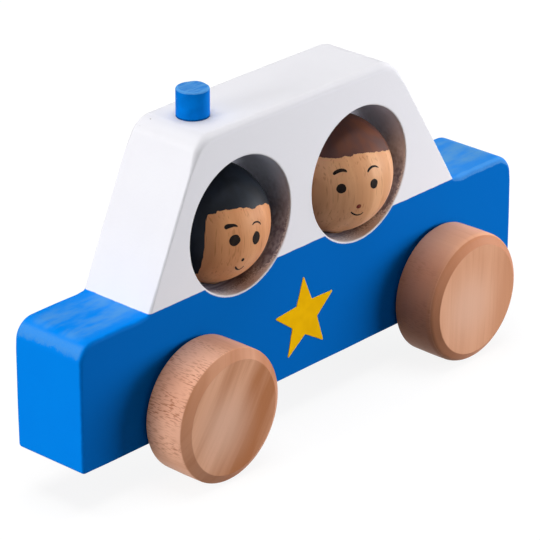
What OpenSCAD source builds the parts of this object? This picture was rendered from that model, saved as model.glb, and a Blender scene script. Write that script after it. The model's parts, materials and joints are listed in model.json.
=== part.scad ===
// Wooden toy car sawn from one thick board, with two ball heads in round windows,
// a dowel beacon on the roof and four wheels glued to turning dowel axles.
// +X points to the front of the car, +Y to its left side and +Z up.
// The origin is on the ground, under the middle of the board.

/* [Body board] */
// Length of the board
body_length = 157; // [140:0.5:220]
// Thickness of the board
board_thickness = 22; // [18:0.5:30]
// Height of the bonnet and boot above the underside
belt_height = 33.6; // [30:0.1:45]
// Rise of the roof above the bonnet and boot
cabin_height = 39.3; // [37:0.1:55]
// Length of the bonnet, from the front end to the foot of the windscreen
bonnet_length = 22.8; // [12:0.1:30]
// Length of the boot, from the rear end to the foot of the rear slope
boot_length = 23.3; // [12:0.1:30]
// How far the top of the windscreen lies behind its foot
windscreen_lean = 18; // [8:0.1:22]
// How far the top of the rear slope lies ahead of its foot
rear_lean = 24; // [8:0.1:28]
// Sanded rounding along the edges of the board
edge_radius = 1.2; // [0.5:0.1:4]
// Rounding of the bonnet and boot corners, seen from the side
end_radius = 5; // [2:0.1:8]
// Rounding of the underside corners, seen from the side
foot_radius = 1.2; // [0.5:0.1:4]
// Rounding where the windscreen meets the roof, seen from the side
roof_front_radius = 6; // [2:0.1:12]
// Rounding where the rear slope meets the roof, seen from the side
roof_rear_radius = 8; // [2:0.1:14]

/* [Windows] */
// Diameter of the window holes
window_diameter = 35; // [28:0.1:37]
// How far the windows dip below the bonnet plane
window_dip = 4.6; // [2:0.1:8]
// Distance of the front window's centre behind the windscreen's foot
window_setback = 31.5; // [29:0.1:36]
// Distance between the two window centres
window_spacing = 42.8; // [39:0.1:46]
// Sanded bevel round each window
window_bevel = 0.8; // [0.2:0.1:1.5]

/* [Heads and necks] */
// Average gap between a head and the wall of its window
head_gap = 2.5; // [2:0.1:6]
// Gap between a head and the floor of its window
head_lift = 0.6; // [0.4:0.1:2]
// How far the driver's head stands towards the left side
driver_head_offset = 0.3; // [0:0.1:4]
// How far the passenger's head stands towards the left side
passenger_head_offset = 2.2; // [0:0.1:4]
// Diameter of the neck dowels
neck_diameter = 6; // [4:0.1:8]
// Depth of the neck's socket in a head
neck_socket_depth = 10; // [6:0.1:14]
// How far the neck's lower end stops short of the underside
neck_recess = 1; // [0.5:0.1:4]

/* [Wheels and axles] */
// Diameter of a wheel
wheel_diameter = 34.2; // [30:0.1:44]
// Overall width of a wheel
wheel_width = 12.9; // [10:0.1:18]
// Width of the bevel round a wheel's outer edge
wheel_bevel_width = 1.6; // [0.5:0.1:3]
// Depth of that bevel towards the middle of the wheel
wheel_bevel_depth = 2.5; // [0.5:0.1:5]
// Small bevel round a wheel's inner edge
wheel_inner_bevel = 0.6; // [0.2:0.1:1.5]
// Gap between a wheel and the board
wheel_gap = 0.8; // [0.4:0.1:3]
// Diameter of the axle dowels
axle_diameter = 6; // [4:0.1:8]
// Depth of the axle's socket in a wheel
axle_socket_depth = 9; // [5:0.1:9.5]
// Height of the axles above the underside
axle_height = 6.2; // [5.5:0.1:9]
// Distance of the front axle behind the front end of the board
front_axle_setback = 37.1; // [22:0.1:42]
// Distance of the rear axle ahead of the rear end of the board
rear_axle_setback = 29.6; // [22:0.1:42]

/* [Beacon] */
// Diameter of the beacon
beacon_diameter = 8.2; // [5:0.1:12]
// Height of the beacon above the roof
beacon_height = 7.4; // [4:0.1:14]
// Distance of the beacon behind the top of the windscreen
beacon_setback = 9.3; // [8:0.1:14]
// How far the beacon stands towards the right side
beacon_offset = 0.6; // [0:0.1:2]
// Wood left between the beacon's hole and the window below it
beacon_floor = 2.6; // [1.5:0.1:4]
// Sanded bevel round the beacon's top
beacon_bevel = 0.5; // [0.2:0.1:1.5]

/* [Star] */
// Distance from the star's centre to its tips
star_tip_radius = 11.3; // [6:0.1:13]
// Distance from the star's centre to its inner corners
star_waist_radius = 4.8; // [2:0.1:6]
// Height of the star's centre above the underside
star_height = 14.5; // [13:0.1:18]
// Distance of the star's centre ahead of the middle of the board
star_offset = 1.5; // [-4:0.1:4]
// Turn of the star towards the front of the car, in degrees
star_tilt = 2.4; // [-10:0.1:10]
// Thickness of the star's paint film
star_thickness = 0.2; // [0.1:0.05:0.5]

/* [Fits] */
// Running clearance of the axles and necks in the board, on the radius
running_clearance = 0.08; // [0.02:0.01:0.1]
// Glue line round a dowel in its socket, on the radius
glue_gap = 0.04; // [0.01:0.01:0.1]
// Space left at the blind end of a socket
socket_end_gap = 0.3; // [0.1:0.1:1]

/* [Hidden] */
$fn = 96;
// Overrun of a cut past the face that it opens
overrun = 1;
board_height = belt_height + cabin_height;
half_length = body_length / 2;
half_thickness = board_thickness / 2;
wheel_radius = wheel_diameter / 2;
window_radius = window_diameter / 2;
axle_radius = axle_diameter / 2;
neck_radius = neck_diameter / 2;
beacon_radius = beacon_diameter / 2;
head_radius = window_radius - head_gap;
// Heights above the ground
underside_z = wheel_radius - axle_height;
belt_z = underside_z + belt_height;
roof_z = belt_z + cabin_height;
window_z = belt_z - window_dip + window_radius;
head_z = window_z - window_radius + head_lift + head_radius;
star_z = underside_z + star_height;
// Places along the car
front_axle_x = half_length - front_axle_setback;
rear_axle_x = rear_axle_setback - half_length;
windscreen_foot_x = half_length - bonnet_length;
roof_front_x = windscreen_foot_x - windscreen_lean;
rear_foot_x = boot_length - half_length;
roof_rear_x = rear_foot_x + rear_lean;
driver_x = windscreen_foot_x - window_setback;
passenger_x = driver_x - window_spacing;
beacon_x = roof_front_x - beacon_setback;
// The cabin's outline runs this far down inside the lower half of the board
cabin_root = 3 * edge_radius;
// Depth of the beacon's hole
roof_bridge = roof_z - window_z - window_radius;
beacon_seat = roof_bridge - beacon_floor;
// Distance of a wheel's inner face from the middle of the car
wheel_face_y = half_thickness + wheel_gap;
axle_half_length = wheel_face_y + axle_socket_depth - socket_end_gap;
wheel_flat_radius = wheel_radius - wheel_bevel_depth;
wheel_inner_radius = wheel_radius - wheel_inner_bevel;
windscreen_angle = atan2(windscreen_lean, cabin_height);
rear_angle = atan2(rear_lean, cabin_height);
// Facets of each round roof corner
corner_steps = 16;
star_corners = 10;
star_step = 360 / star_corners;
BLUE = [0.0, 0.36, 0.76];
WHITE = [0.93, 0.93, 0.95];
BEECH = [0.76, 0.53, 0.38];
TAN = [0.72, 0.46, 0.27];
YELLOW = [0.80, 0.60, 0.16];

// Rectangle from the origin with four rounded corners
module rounded_rectangle(width, height, radius) {
    translate([radius, 0])
        square([width - 2 * radius, height]);
    translate([0, radius])
        square([width, height - 2 * radius]);
    for (x = [radius, width - radius], y = [radius, height - radius])
        translate([x, y])
            circle(radius);
}

// Side outline of the lower half, from the origin, with its own rounding at the foot and at the top
module lower_outline() {
    translate([foot_radius, 0])
        square([body_length - 2 * foot_radius, belt_height - end_radius]);
    translate([0, foot_radius])
        square([body_length, belt_height - foot_radius - end_radius]);
    translate([end_radius, foot_radius])
        square([body_length - 2 * end_radius, belt_height - foot_radius]);
    for (x = [foot_radius, body_length - foot_radius])
        translate([x, foot_radius])
            circle(foot_radius);
    for (x = [end_radius, body_length - end_radius])
        translate([x, belt_height - end_radius])
            circle(end_radius);
}

// Slab as thick as the board, from a flat outline in X and Z
module across_board() {
    translate([0, half_thickness, 0])
        rotate([90, 0, 0])
            linear_extrude(board_thickness)
                children();
}

// Bar along the whole car with its four long edges rounded
module long_bar(height) {
    translate([-half_length - overrun, -half_thickness, underside_z])
        rotate([90, 0, 90])
            linear_extrude(body_length + 2 * overrun)
                rounded_rectangle(board_thickness, height, edge_radius);
}

// Upright bar from X = 0 with its edges rounded, longer than any slope of the cabin
module slope_bar() {
    translate([0, -half_thickness, -body_length])
        linear_extrude(2 * body_length)
            rounded_rectangle(body_length, board_thickness, edge_radius);
}

// Hole across the car
module cross_hole(x, z, radius) {
    translate([x, half_thickness + overrun, z])
        rotate([90, 0, 0])
            cylinder(h = board_thickness + 2 * overrun, r = radius);
}

// Lower half of the board, from the underside to the bonnet and boot
module lower_half() {
    intersection() {
        across_board()
            translate([-half_length, underside_z])
                lower_outline();
        long_bar(belt_height);
        translate([-half_length, -half_thickness, underside_z - overrun])
            linear_extrude(belt_height + 2 * overrun)
                rounded_rectangle(body_length, board_thickness, edge_radius);
    }
}

// Round roof corner as a row of points; side is 1 at the front and -1 at the rear
function roof_corner(x, side, slope_angle, radius) =
    let (
        reach = radius * tan((90 - slope_angle) / 2),
        step = (90 - slope_angle) / corner_steps
    )
    [
        for (i = [0 : corner_steps])
            let (angle = slope_angle + i * step)
                [x - side * reach + side * radius * cos(angle), roof_z - radius + radius * sin(angle)]
    ];

// The points of a row in the opposite order
function reversed(points) = [for (i = [len(points) - 1 : -1 : 0]) points[i]];

// Side outline of the cabin, with its slopes carried down into the lower half
module cabin_outline() {
    root_z = belt_z - cabin_root;
    polygon(concat(
        [
            [rear_foot_x - cabin_root * tan(rear_angle), root_z],
            [windscreen_foot_x + cabin_root * tan(windscreen_angle), root_z]
        ],
        roof_corner(roof_front_x, 1, windscreen_angle, roof_front_radius),
        reversed(roof_corner(roof_rear_x, -1, rear_angle, roof_rear_radius))
    ));
}

// Upper half of the board
module cabin() {
    intersection() {
        across_board()
            cabin_outline();
        long_bar(board_height);
        translate([windscreen_foot_x, 0, belt_z])
            rotate([0, -windscreen_angle, 0])
                mirror([1, 0, 0])
                    slope_bar();
        translate([rear_foot_x, 0, belt_z])
            rotate([0, rear_angle, 0])
                slope_bar();
    }
}

// Window hole with a sanded bevel on both faces of the board
module window_hole(x) {
    cross_hole(x, window_z, window_radius);
    for (side = [0, 1])
        mirror([0, side, 0])
            translate([x, half_thickness - window_bevel, window_z])
                rotate([-90, 0, 0])
                    cylinder(
                        h = window_bevel + overrun,
                        r1 = window_radius,
                        r2 = window_radius + window_bevel + overrun
                    );
}

// Upright bore for a neck, from the underside into the window
module neck_bore(x, y) {
    translate([x, y, underside_z - overrun])
        cylinder(h = window_z - underside_z + overrun, r = neck_radius + running_clearance);
}

module body_block() {
    difference() {
        union() {
            color(BLUE)
                lower_half();
            color(WHITE)
                cabin();
        }
        color(WHITE) {
            window_hole(driver_x);
            window_hole(passenger_x);
        }
        color(BEECH) {
            neck_bore(driver_x, driver_head_offset);
            neck_bore(passenger_x, passenger_head_offset);
            cross_hole(front_axle_x, wheel_radius, axle_radius + running_clearance);
            cross_hole(rear_axle_x, wheel_radius, axle_radius + running_clearance);
            translate([beacon_x, -beacon_offset, roof_z - beacon_seat])
                cylinder(h = beacon_seat + overrun, r = beacon_radius + glue_gap);
        }
    }
}

// Short dowel with a bevelled top, standing in the roof
module beacon() {
    length = beacon_seat - socket_end_gap + beacon_height;
    color(BLUE)
        translate([beacon_x, -beacon_offset, roof_z + beacon_height - length])
            rotate_extrude()
                polygon([
                    [0, 0],
                    [beacon_radius, 0],
                    [beacon_radius, length - beacon_bevel],
                    [beacon_radius - beacon_bevel, length],
                    [0, length]
                ]);
}

// Ball with a blind socket for its neck
module head(x, y) {
    color(TAN)
        translate([x, y, head_z])
            difference() {
                sphere(head_radius);
                translate([0, 0, -head_radius - overrun])
                    cylinder(h = neck_socket_depth + overrun, r = neck_radius + glue_gap);
            }
}

// Dowel that turns in the board and is glued into a head
module neck(x, y) {
    foot_z = underside_z + neck_recess;
    color(BEECH)
        translate([x, y, foot_z])
            cylinder(
                h = head_z - head_radius + neck_socket_depth - socket_end_gap - foot_z,
                r = neck_radius
            );
}

module driver_head() {
    head(driver_x, driver_head_offset);
}

module passenger_head() {
    head(passenger_x, passenger_head_offset);
}

module driver_neck() {
    neck(driver_x, driver_head_offset);
}

module passenger_neck() {
    neck(passenger_x, passenger_head_offset);
}

// Dowel across the car, glued into a wheel at each end
module axle(x) {
    color(BEECH)
        translate([x, axle_half_length, wheel_radius])
            rotate([90, 0, 0])
                cylinder(h = 2 * axle_half_length, r = axle_radius);
}

module front_axle() {
    axle(front_axle_x);
}

module rear_axle() {
    axle(rear_axle_x);
}

// Turned wheel with a blind socket; side is 0 on the left and 1 on the right
module wheel(x, side) {
    color(BEECH)
        mirror([0, side, 0])
            translate([x, wheel_face_y, wheel_radius])
                rotate([-90, 0, 0])
                    difference() {
                        rotate_extrude()
                            polygon([
                                [0, 0],
                                [wheel_inner_radius, 0],
                                [wheel_radius, wheel_inner_bevel],
                                [wheel_radius, wheel_width - wheel_bevel_width],
                                [wheel_flat_radius, wheel_width],
                                [0, wheel_width]
                            ]);
                        translate([0, 0, -overrun])
                            cylinder(h = axle_socket_depth + overrun, r = axle_radius + glue_gap);
                    }
}

module wheel_front_left() {
    wheel(front_axle_x, 0);
}

module wheel_front_right() {
    wheel(front_axle_x, 1);
}

module wheel_rear_left() {
    wheel(rear_axle_x, 0);
}

module wheel_rear_right() {
    wheel(rear_axle_x, 1);
}

// Five-point star on a face of the board; side is 0 on the left and 1 on the right
module star(side) {
    color(YELLOW)
        mirror([0, side, 0])
            translate([star_offset, half_thickness + star_thickness, star_z])
                rotate([90, 0, 0])
                    linear_extrude(star_thickness)
                        polygon([
                            for (i = [0 : star_corners - 1])
                                let (
                                    radius = i % 2 == 0 ? star_tip_radius : star_waist_radius,
                                    angle = 90 - star_tilt + i * star_step
                                )
                                    [radius * cos(angle), radius * sin(angle)]
                        ]);
}

module star_left() {
    star(0);
}

module star_right() {
    star(1);
}

body_block();
beacon();
driver_head();
passenger_head();
driver_neck();
passenger_neck();
front_axle();
rear_axle();
wheel_front_left();
wheel_front_right();
wheel_rear_left();
wheel_rear_right();
star_left();
star_right();
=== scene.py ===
"""Looks of a wooden toy car with two ball-headed riders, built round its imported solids.

Sizes are in millimetres unless a name says otherwise. +X is the car's front and +Y its left side.
"""

import json
import math
from collections import namedtuple
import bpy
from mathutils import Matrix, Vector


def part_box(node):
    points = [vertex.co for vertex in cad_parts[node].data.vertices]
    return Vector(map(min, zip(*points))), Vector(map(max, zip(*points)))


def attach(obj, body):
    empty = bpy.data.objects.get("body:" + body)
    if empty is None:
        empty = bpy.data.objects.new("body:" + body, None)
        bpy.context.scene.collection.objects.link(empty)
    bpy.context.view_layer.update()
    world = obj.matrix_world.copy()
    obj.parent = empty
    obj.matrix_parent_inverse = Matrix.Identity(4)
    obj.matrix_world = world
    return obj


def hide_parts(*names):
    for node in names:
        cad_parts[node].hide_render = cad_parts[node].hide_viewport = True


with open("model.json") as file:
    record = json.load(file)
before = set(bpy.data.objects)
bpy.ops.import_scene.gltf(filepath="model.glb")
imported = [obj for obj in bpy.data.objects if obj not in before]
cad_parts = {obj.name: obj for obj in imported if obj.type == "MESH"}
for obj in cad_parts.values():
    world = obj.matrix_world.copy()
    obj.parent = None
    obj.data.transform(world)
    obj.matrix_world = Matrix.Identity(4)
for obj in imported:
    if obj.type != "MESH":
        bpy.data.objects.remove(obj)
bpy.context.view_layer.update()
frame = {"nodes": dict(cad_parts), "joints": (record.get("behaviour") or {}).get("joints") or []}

from types import SimpleNamespace

import bmesh
import bpy
from mathutils import Matrix, Vector, geometry, noise

MM = 0.001


def node_box(node):
    """Lowest and highest corner of a CAD node, in millimetres."""
    low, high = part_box(node)
    return low / MM, high / MM


# Board
BOARD_LOW, BOARD_HIGH = node_box("body_block")
HALF_LENGTH = BOARD_HIGH.x
HALF_THICKNESS = BOARD_HIGH.y
UNDERSIDE = BOARD_LOW.z
ROOF = BOARD_HIGH.z
BELT = UNDERSIDE + 33.6
WINDSCREEN_FOOT = HALF_LENGTH - 22.8
WINDSCREEN_TOP = WINDSCREEN_FOOT - 18.0
REAR_FOOT = 23.3 - HALF_LENGTH
REAR_TOP = REAR_FOOT + 24.0
END_RADIUS = 5.0
UNDER_RADIUS = 1.2
ROOF_FRONT_RADIUS = 6.0
ROOF_REAR_RADIUS = 8.0
FOOT_RADIUS = 0.8
EDGE_RADIUS = 0.6
EDGE_CORNER_GAIN = 0.2
EDGE_CORNER_REACH = 6.0
ROOF_EDGE_GAIN = 1.2
ROOF_EDGE_REACH = 8.0
BONNET_EDGE_GAIN = 0.7
BOOT_EDGE_GAIN = 1.1
BELT_EDGE_REACH = 7.0
FOOT_EDGE_REACH = 3.0
EDGE_WANDER = 0.2
EDGE_WANDER_LENGTH = 14.0
EDGE_WANDER_SEED = 3.7
OUTLINE_STEP = 2.5
CORNER_STEP = math.radians(7)
EDGE_STEPS = 8
BAND_COLUMNS = 10
FLAT_GRID = 5.0
FLAT_TOLERANCE = 1e-4
# Corners of the outline as x, z and radius
OUTLINE = [
    (-HALF_LENGTH, UNDERSIDE, UNDER_RADIUS),
    (HALF_LENGTH, UNDERSIDE, UNDER_RADIUS),
    (HALF_LENGTH, BELT, END_RADIUS),
    (WINDSCREEN_FOOT, BELT, FOOT_RADIUS),
    (WINDSCREEN_TOP, ROOF, ROOF_FRONT_RADIUS),
    (REAR_TOP, ROOF, ROOF_REAR_RADIUS),
    (REAR_FOOT, BELT, FOOT_RADIUS),
    (-HALF_LENGTH, BELT, END_RADIUS),
]

# Windows, heads, axles
DRIVER_LOW, DRIVER_HIGH = node_box("driver_head")
HEAD_RADIUS = (DRIVER_HIGH.x - DRIVER_LOW.x) / 2
WINDOW_RADIUS = 17.5
WINDOW_Z = BELT - 4.6 + WINDOW_RADIUS
WINDOW_RIM = 0.35
DOWEL_RADIUS = 3.0
BORE_RADIUS = 3.08
BORE_RIM = 0.2
BORE_DEPTH = 4.0
NECK_RECESS_DEPTH = 2.0
SOCKET_RADIUS = DOWEL_RADIUS + 0.04
SOCKET_FLARE = 0.2
SOCKET_FLARE_DEPTH = 0.3
HEAD_SOCKET_DEPTH = 10.0
BALL_STEPS = 72
CIRCLE_STEPS = 96

# Beacon, star, wheels
BEACON_LOW, BEACON_HIGH = node_box("beacon")
BEACON_FOOT_RADIUS = 0.2
BEACON_TOP_RADIUS = 0.7
BEACON_TOP_ZONE = 0.75
BEACON_DENT = 0.10
BEACON_STEP = 0.6
# Radius and softness of the star's tips, and of the corners between them
STAR_CORNERS = [(11.3, 0.25), (4.8, 0.3)]
STAR_CENTRE = (1.5, UNDERSIDE + 14.5)
STAR_TILT = math.radians(2.4)
STAR_FILM = 0.14
STAR_SUNK = 0.05
STAR_WANDER = 0.06
STAR_STEP = 1.0
STAR_GRID = 2.0
# Inset, rise over the board and lean of the normal, from the star's sunk foot to its flat top
STAR_EDGE = [(0.0, -STAR_SUNK, 0.3), (0.02, STAR_FILM * 0.6, 0.5), (0.12, STAR_FILM, 1.0)]
WHEEL_BEVEL_WIDTH = 1.6
WHEEL_BEVEL_DEPTH = 2.5
WHEEL_SOCKET_DEPTH = 9.0
SOCKET_END_RADIUS = 0.1
SOCKET_MOUTH_RADIUS = 0.2
WHEEL_EDGE_RADIUS = 0.5
WHEEL_CROWN_RADIUS = 40.0
WHEEL_INNER_DRAFT = 0.1
WHEEL_OUTER_DRAFT = 0.05
WHEEL_STEP = 1.2
LATHE_STEPS = 144
TOUCHING = 1e-6


def joint_place(name):
    """Where a joint's axis passes, in millimetres."""
    joint = next(j for j in frame["joints"] if j["name"] == name)
    return Vector(joint["pos_m"]) / MM


DRIVER_PLACE = joint_place("driver_head_turn")
PASSENGER_PLACE = joint_place("passenger_head_turn")
WINDOWS = [(DRIVER_PLACE.x, WINDOW_Z), (PASSENGER_PLACE.x, WINDOW_Z)]
AXLES = [joint_place(name).xz for name in ("front_axle_spin", "rear_axle_spin")]


class Shape:
    """A mesh in the making, with the smooth normal and the edge share of each vertex."""

    def __init__(self):
        self.bm = bmesh.new()
        self.normals = {}
        self.edges = {}

    def vertex(self, place, normal, edge=0.0):
        made = self.bm.verts.new(place)
        self.normals[made] = Vector(normal).normalized()
        self.edges[made] = edge
        return made

    def strip(self, first, second, skipped=()):
        """Quads between two closed rows of vertices, apart from those that start at a skipped place."""
        for i in range(len(first)):
            j = (i + 1) % len(first)
            if i not in skipped:
                self.bm.faces.new((first[i], first[j], second[j], second[i]))

    def strips(self, rows, skipped=()):
        """Quads between each row of vertices and the next."""
        for first, second in zip(rows, rows[1:]):
            self.strip(first, second, skipped)

    def fan(self, row, tip):
        """Triangles from a closed row to one vertex."""
        for i, vertex in enumerate(row):
            self.bm.faces.new((vertex, row[(i + 1) % len(row)], tip))

    def fill(self, outer, holes, flatten, lift, normal, spacing):
        """Triangles between an outer loop and the holes in it, with a grid of points in between."""
        loops = [outer, *holes]
        rows = [[flatten(v.co) for v in loop] for loop in loops]
        corners = [v for loop in loops for v in loop]
        points = [p for row in rows for p in row]
        edges = []
        for row in rows:
            start = len(edges)
            edges += [(start + i, start + (i + 1) % len(row)) for i in range(len(row))]
        extra = grid_inside(rows, points, spacing)
        flat, _, faces, origin, _, _ = geometry.delaunay_2d_cdt(points + extra, edges, [], 0, TOUCHING)
        made = []
        for place, sources in zip(flat, origin):
            known = [s for s in sources if s < len(corners)]
            made.append(corners[known[0]] if known else self.vertex(lift(place), normal))
        for face in faces:
            centre = sum((flat[i] for i in face), Vector((0, 0))) / len(face)
            if in_region(centre, rows):
                self.bm.faces.new([made[i] for i in face])

    def piece(self, name, *materials, place=(0, 0, 0)):
        """The finished object, in metres, with its origin at place."""
        bmesh.ops.recalc_face_normals(self.bm, faces=self.bm.faces)
        self.bm.verts.index_update()
        normals = [self.normals[v] for v in self.bm.verts]
        edges = [self.edges[v] for v in self.bm.verts]
        mesh = bpy.data.meshes.new(name)
        self.bm.to_mesh(mesh)
        self.bm.free()
        mesh.transform(Matrix.Scale(MM, 4))
        mesh.polygons.foreach_set("use_smooth", [True] * len(mesh.polygons))
        mesh.normals_split_custom_set_from_vertices(normals)
        on_edge = mesh.attributes.new("edge_share", "FLOAT", "POINT")
        on_edge.data.foreach_set("value", edges)
        for material in materials:
            mesh.materials.append(material)
        made = bpy.data.objects.new(name, mesh)
        made.location = Vector(place) * MM
        bpy.context.scene.collection.objects.link(made)
        return made


def in_polygon(point, polygon):
    inside = False
    previous = polygon[-1]
    for corner in polygon:
        if (corner.y > point.y) != (previous.y > point.y):
            share = (point.y - previous.y) / (corner.y - previous.y)
            if point.x < previous.x + share * (corner.x - previous.x):
                inside = not inside
        previous = corner
    return inside


def in_region(point, rows):
    """True between the outer row and the holes that follow it."""
    return in_polygon(point, rows[0]) and not any(in_polygon(point, row) for row in rows[1:])


def grid_inside(rows, points, spacing):
    """Grid points of a region that keep clear of its borders."""
    low_x, high_x = min(p.x for p in points), max(p.x for p in points)
    low_y, high_y = min(p.y for p in points), max(p.y for p in points)
    found = []
    for i in range(1, int((high_x - low_x) / spacing) + 1):
        for j in range(1, int((high_y - low_y) / spacing) + 1):
            point = Vector((low_x + i * spacing, low_y + j * spacing))
            clear = all((point - p).length > spacing / 2 for p in points)
            if clear and in_region(point, rows):
                found.append(point)
    return found


def round_corner(before, corner, after, radius):
    """Points, outward normals and edge shares round one corner of a path whose inside is on its left."""
    into = (corner - before).normalized()
    out = (after - corner).normalized()
    angle = math.atan2(into.x * out.y - into.y * out.x, into.dot(out))
    side = math.copysign(1, angle)
    start = corner - into * radius * math.tan(abs(angle) / 2)
    centre = start + Vector((-into.y, into.x)) * radius * side
    steps = max(3, round(abs(angle) / CORNER_STEP))
    row = []
    for i in range(steps + 1):
        spoke = Matrix.Rotation(angle * i / steps, 2) @ (start - centre)
        share = math.sin(math.pi * i / steps) if side > 0 else 0.0
        row.append((centre + spoke, spoke.normalized() * side, share))
    return row


def rounded_path(corners, closed, step):
    """A path through (x, y, radius) corners, with its straight stretches cut into short steps."""
    places = [Vector(c[:2]) for c in corners]
    count = len(corners)
    rounds = []
    for i, corner in enumerate(corners):
        if not closed and i in (0, count - 1):
            rounds.append([(places[i], None, 0.0)])
        else:
            before, after = places[i - 1], places[(i + 1) % count]
            rounds.append(round_corner(before, places[i], after, corner[2]))
    path = []
    for i in range(count if closed else count - 1):
        first, last = rounds[i][-1][0], rounds[(i + 1) % count][0][0]
        along = last - first
        normal = Vector((along.y, -along.x)).normalized()
        path += [(p, n or normal, share) for p, n, share in rounds[i]]
        steps = math.ceil(along.length / step)
        path += [(first + along * k / steps, normal, 0.0) for k in range(1, steps)]
    if not closed:
        path.append((places[-1], normal, 0.0))
    return path


class Wire:
    """A node output that takes part in sums, so that a material reads as a formula."""

    def __init__(self, graph, socket):
        self.graph = graph
        self.socket = socket

    def __add__(self, other):
        return self.graph.math("ADD", self, other)

    def __sub__(self, other):
        return self.graph.math("SUBTRACT", self, other)

    def __rsub__(self, other):
        return self.graph.math("SUBTRACT", other, self)

    def __mul__(self, other):
        return self.graph.math("MULTIPLY", self, other)

    __radd__ = __add__
    __rmul__ = __mul__


BUMP_DEPTH = 0.03


class Graph:
    """Builds the node tree of one material."""

    def __init__(self, name):
        self.material = bpy.data.materials.new(name)
        self.material.use_nodes = True
        self.tree = self.material.node_tree
        self.shader = self.tree.nodes["Principled BSDF"]
        coords = self.tree.nodes.new("ShaderNodeTexCoord")
        self.place = self.vector("MULTIPLY", Wire(self, coords.outputs["Object"]), (1 / MM,) * 3)

    def put(self, value, socket):
        if isinstance(value, Wire):
            self.tree.links.new(value.socket, socket)
        else:
            socket.default_value = value

    def node(self, kind, inputs, output=0, **settings):
        made = self.tree.nodes.new(kind)
        for key, value in settings.items():
            setattr(made, key, value)
        for key, value in inputs.items():
            self.put(value, made.inputs[key])
        return Wire(self, made.outputs[output])

    def math(self, operation, *values):
        return self.node("ShaderNodeMath", dict(enumerate(values)), operation=operation)

    def vector(self, operation, *values):
        return self.node("ShaderNodeVectorMath", dict(enumerate(values)), operation=operation)

    def parts(self, vector):
        made = self.tree.nodes.new("ShaderNodeSeparateXYZ")
        self.put(vector, made.inputs[0])
        return [Wire(self, output) for output in made.outputs]

    def joined(self, x, y, z):
        return self.node("ShaderNodeCombineXYZ", {0: x, 1: y, 2: z})

    def noise(self, vector, detail=2.0, roughness=0.5):
        inputs = {"Vector": vector, "Scale": 1.0, "Detail": detail, "Roughness": roughness}
        return self.node("ShaderNodeTexNoise", inputs)

    def grain(self, scale, detail=2.0, roughness=0.5, of=None):
        """Noise over the piece, or over a vector; scale is in cycles a millimetre, one number or three."""
        factors = scale if isinstance(scale, tuple) else (scale,) * 3
        return self.noise(self.vector("MULTIPLY", of or self.place, factors), detail, roughness)

    def smooth(self, value, low, high):
        """0 at low and 1 at high, with a soft start and end."""
        inputs = {0: value, 1: low, 2: high, 3: 0.0, 4: 1.0}
        return self.node("ShaderNodeMapRange", inputs, interpolation_type="SMOOTHSTEP")

    def mix(self, share, first, second):
        inputs = {0: share, 6: first, 7: second}
        return self.node("ShaderNodeMix", inputs, output=2, data_type="RGBA", clamp_factor=True)

    def length(self, vector):
        return self.node("ShaderNodeVectorMath", {0: vector}, output="Value", operation="LENGTH")

    def attribute(self, name):
        return self.node("ShaderNodeAttribute", {}, output=2, attribute_name=name)

    def bump(self, height, depth=BUMP_DEPTH):
        """Bump whose height of 1 stands for depth millimetres."""
        return self.node("ShaderNodeBump", {"Strength": 1.0, "Distance": depth * MM, "Height": height})

    def finish(self, colour, roughness, normal, ior):
        """The material, with its surface set."""
        looks = {"Base Color": colour, "Roughness": roughness, "Normal": normal, "IOR": ior}
        for name, value in looks.items():
            self.put(value, self.shader.inputs[name])
        return self.material


# Paints, as linear colours
BLUE = (0.0, 0.215, 0.78, 1)
BLUE_PALE = (0.0, 0.245, 0.83, 1)
# Deeper blue for the board's broad sides as painted shade, also mottled into the beacon's blue
BLUE_SIDE_SHADE = (0.0, 0.142, 0.55, 1)
# Paler blue: worn and brushed-thin paint, and painted sheen on tops and edges
BLUE_WORN_AND_SHEEN = (0.085, 0.30, 0.66, 1)
# Near-black blue for the ring at the beacon's foot
BLUE_FOOT_DARK = (0.0, 0.03, 0.11, 1)
WHITE = (0.80, 0.795, 0.832, 1)
# Lighter white for the board's broad sides, as painted light
WHITE_SIDE_LIT = (0.87, 0.865, 0.92, 1)
WHITE_THIN = (0.74, 0.73, 0.77, 1)
# Greyer white for the rounded edges: worn paint, and painted shade that dims their bright band
WHITE_WORN_AND_SHADE = (0.67, 0.665, 0.70, 1)
# White high in the windows, lighter and bluer than the board's white, as painted light
WALL_PAINT_LIT = (0.86, 0.88, 1.0, 1)
# Bare wood in the windows as a dark blue-grey, as painted shade
BARE_WOOD_SHADE = (0.17, 0.16, 0.215, 1)
CHIP = (0.16, 0.12, 0.10, 1)
YELLOW = (0.95, 0.53, 0.002, 1)
YELLOW_DEEP = (0.84, 0.44, 0.001, 1)
PAINT_IOR = 1.06


def paint_skin(graph, grain):
    """Height of a paint film: wood grain showing through, and fine orange peel."""
    return graph.grain(grain, 3.0) * 0.8 + graph.grain(1.6) * 0.35


def window_distance(graph, x, z):
    """Distance outside the nearer window's wall."""
    found = []
    for centre_x, centre_z in WINDOWS:
        found.append(graph.length(graph.joined(x - centre_x, 0.0, z - centre_z)))
    return graph.math("MINIMUM", *found) - WINDOW_RADIUS


def board_fields(g):
    """What the coats of paint on the board depend on: place, wear and noises."""
    x, y, z = g.parts(g.place)
    f = SimpleNamespace(x=x, y=y, z=z, on_edge=g.attribute("edge_share"))
    f.mottle = g.grain(0.09, 3.0)
    f.wobble = g.grain(0.35) - 0.5
    f.speck = g.grain(2.2, 3.0, 0.6)
    f.hole = window_distance(g, x, z)
    f.depth = HALF_THICKNESS - g.math("ABSOLUTE", y)
    # Share of the broad sides, where the blue is painted darker as shade and the white lighter as light
    f.thick = 1.0 - g.smooth(f.depth + f.wobble * 0.6, 0.2, 0.8)
    return f


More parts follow.
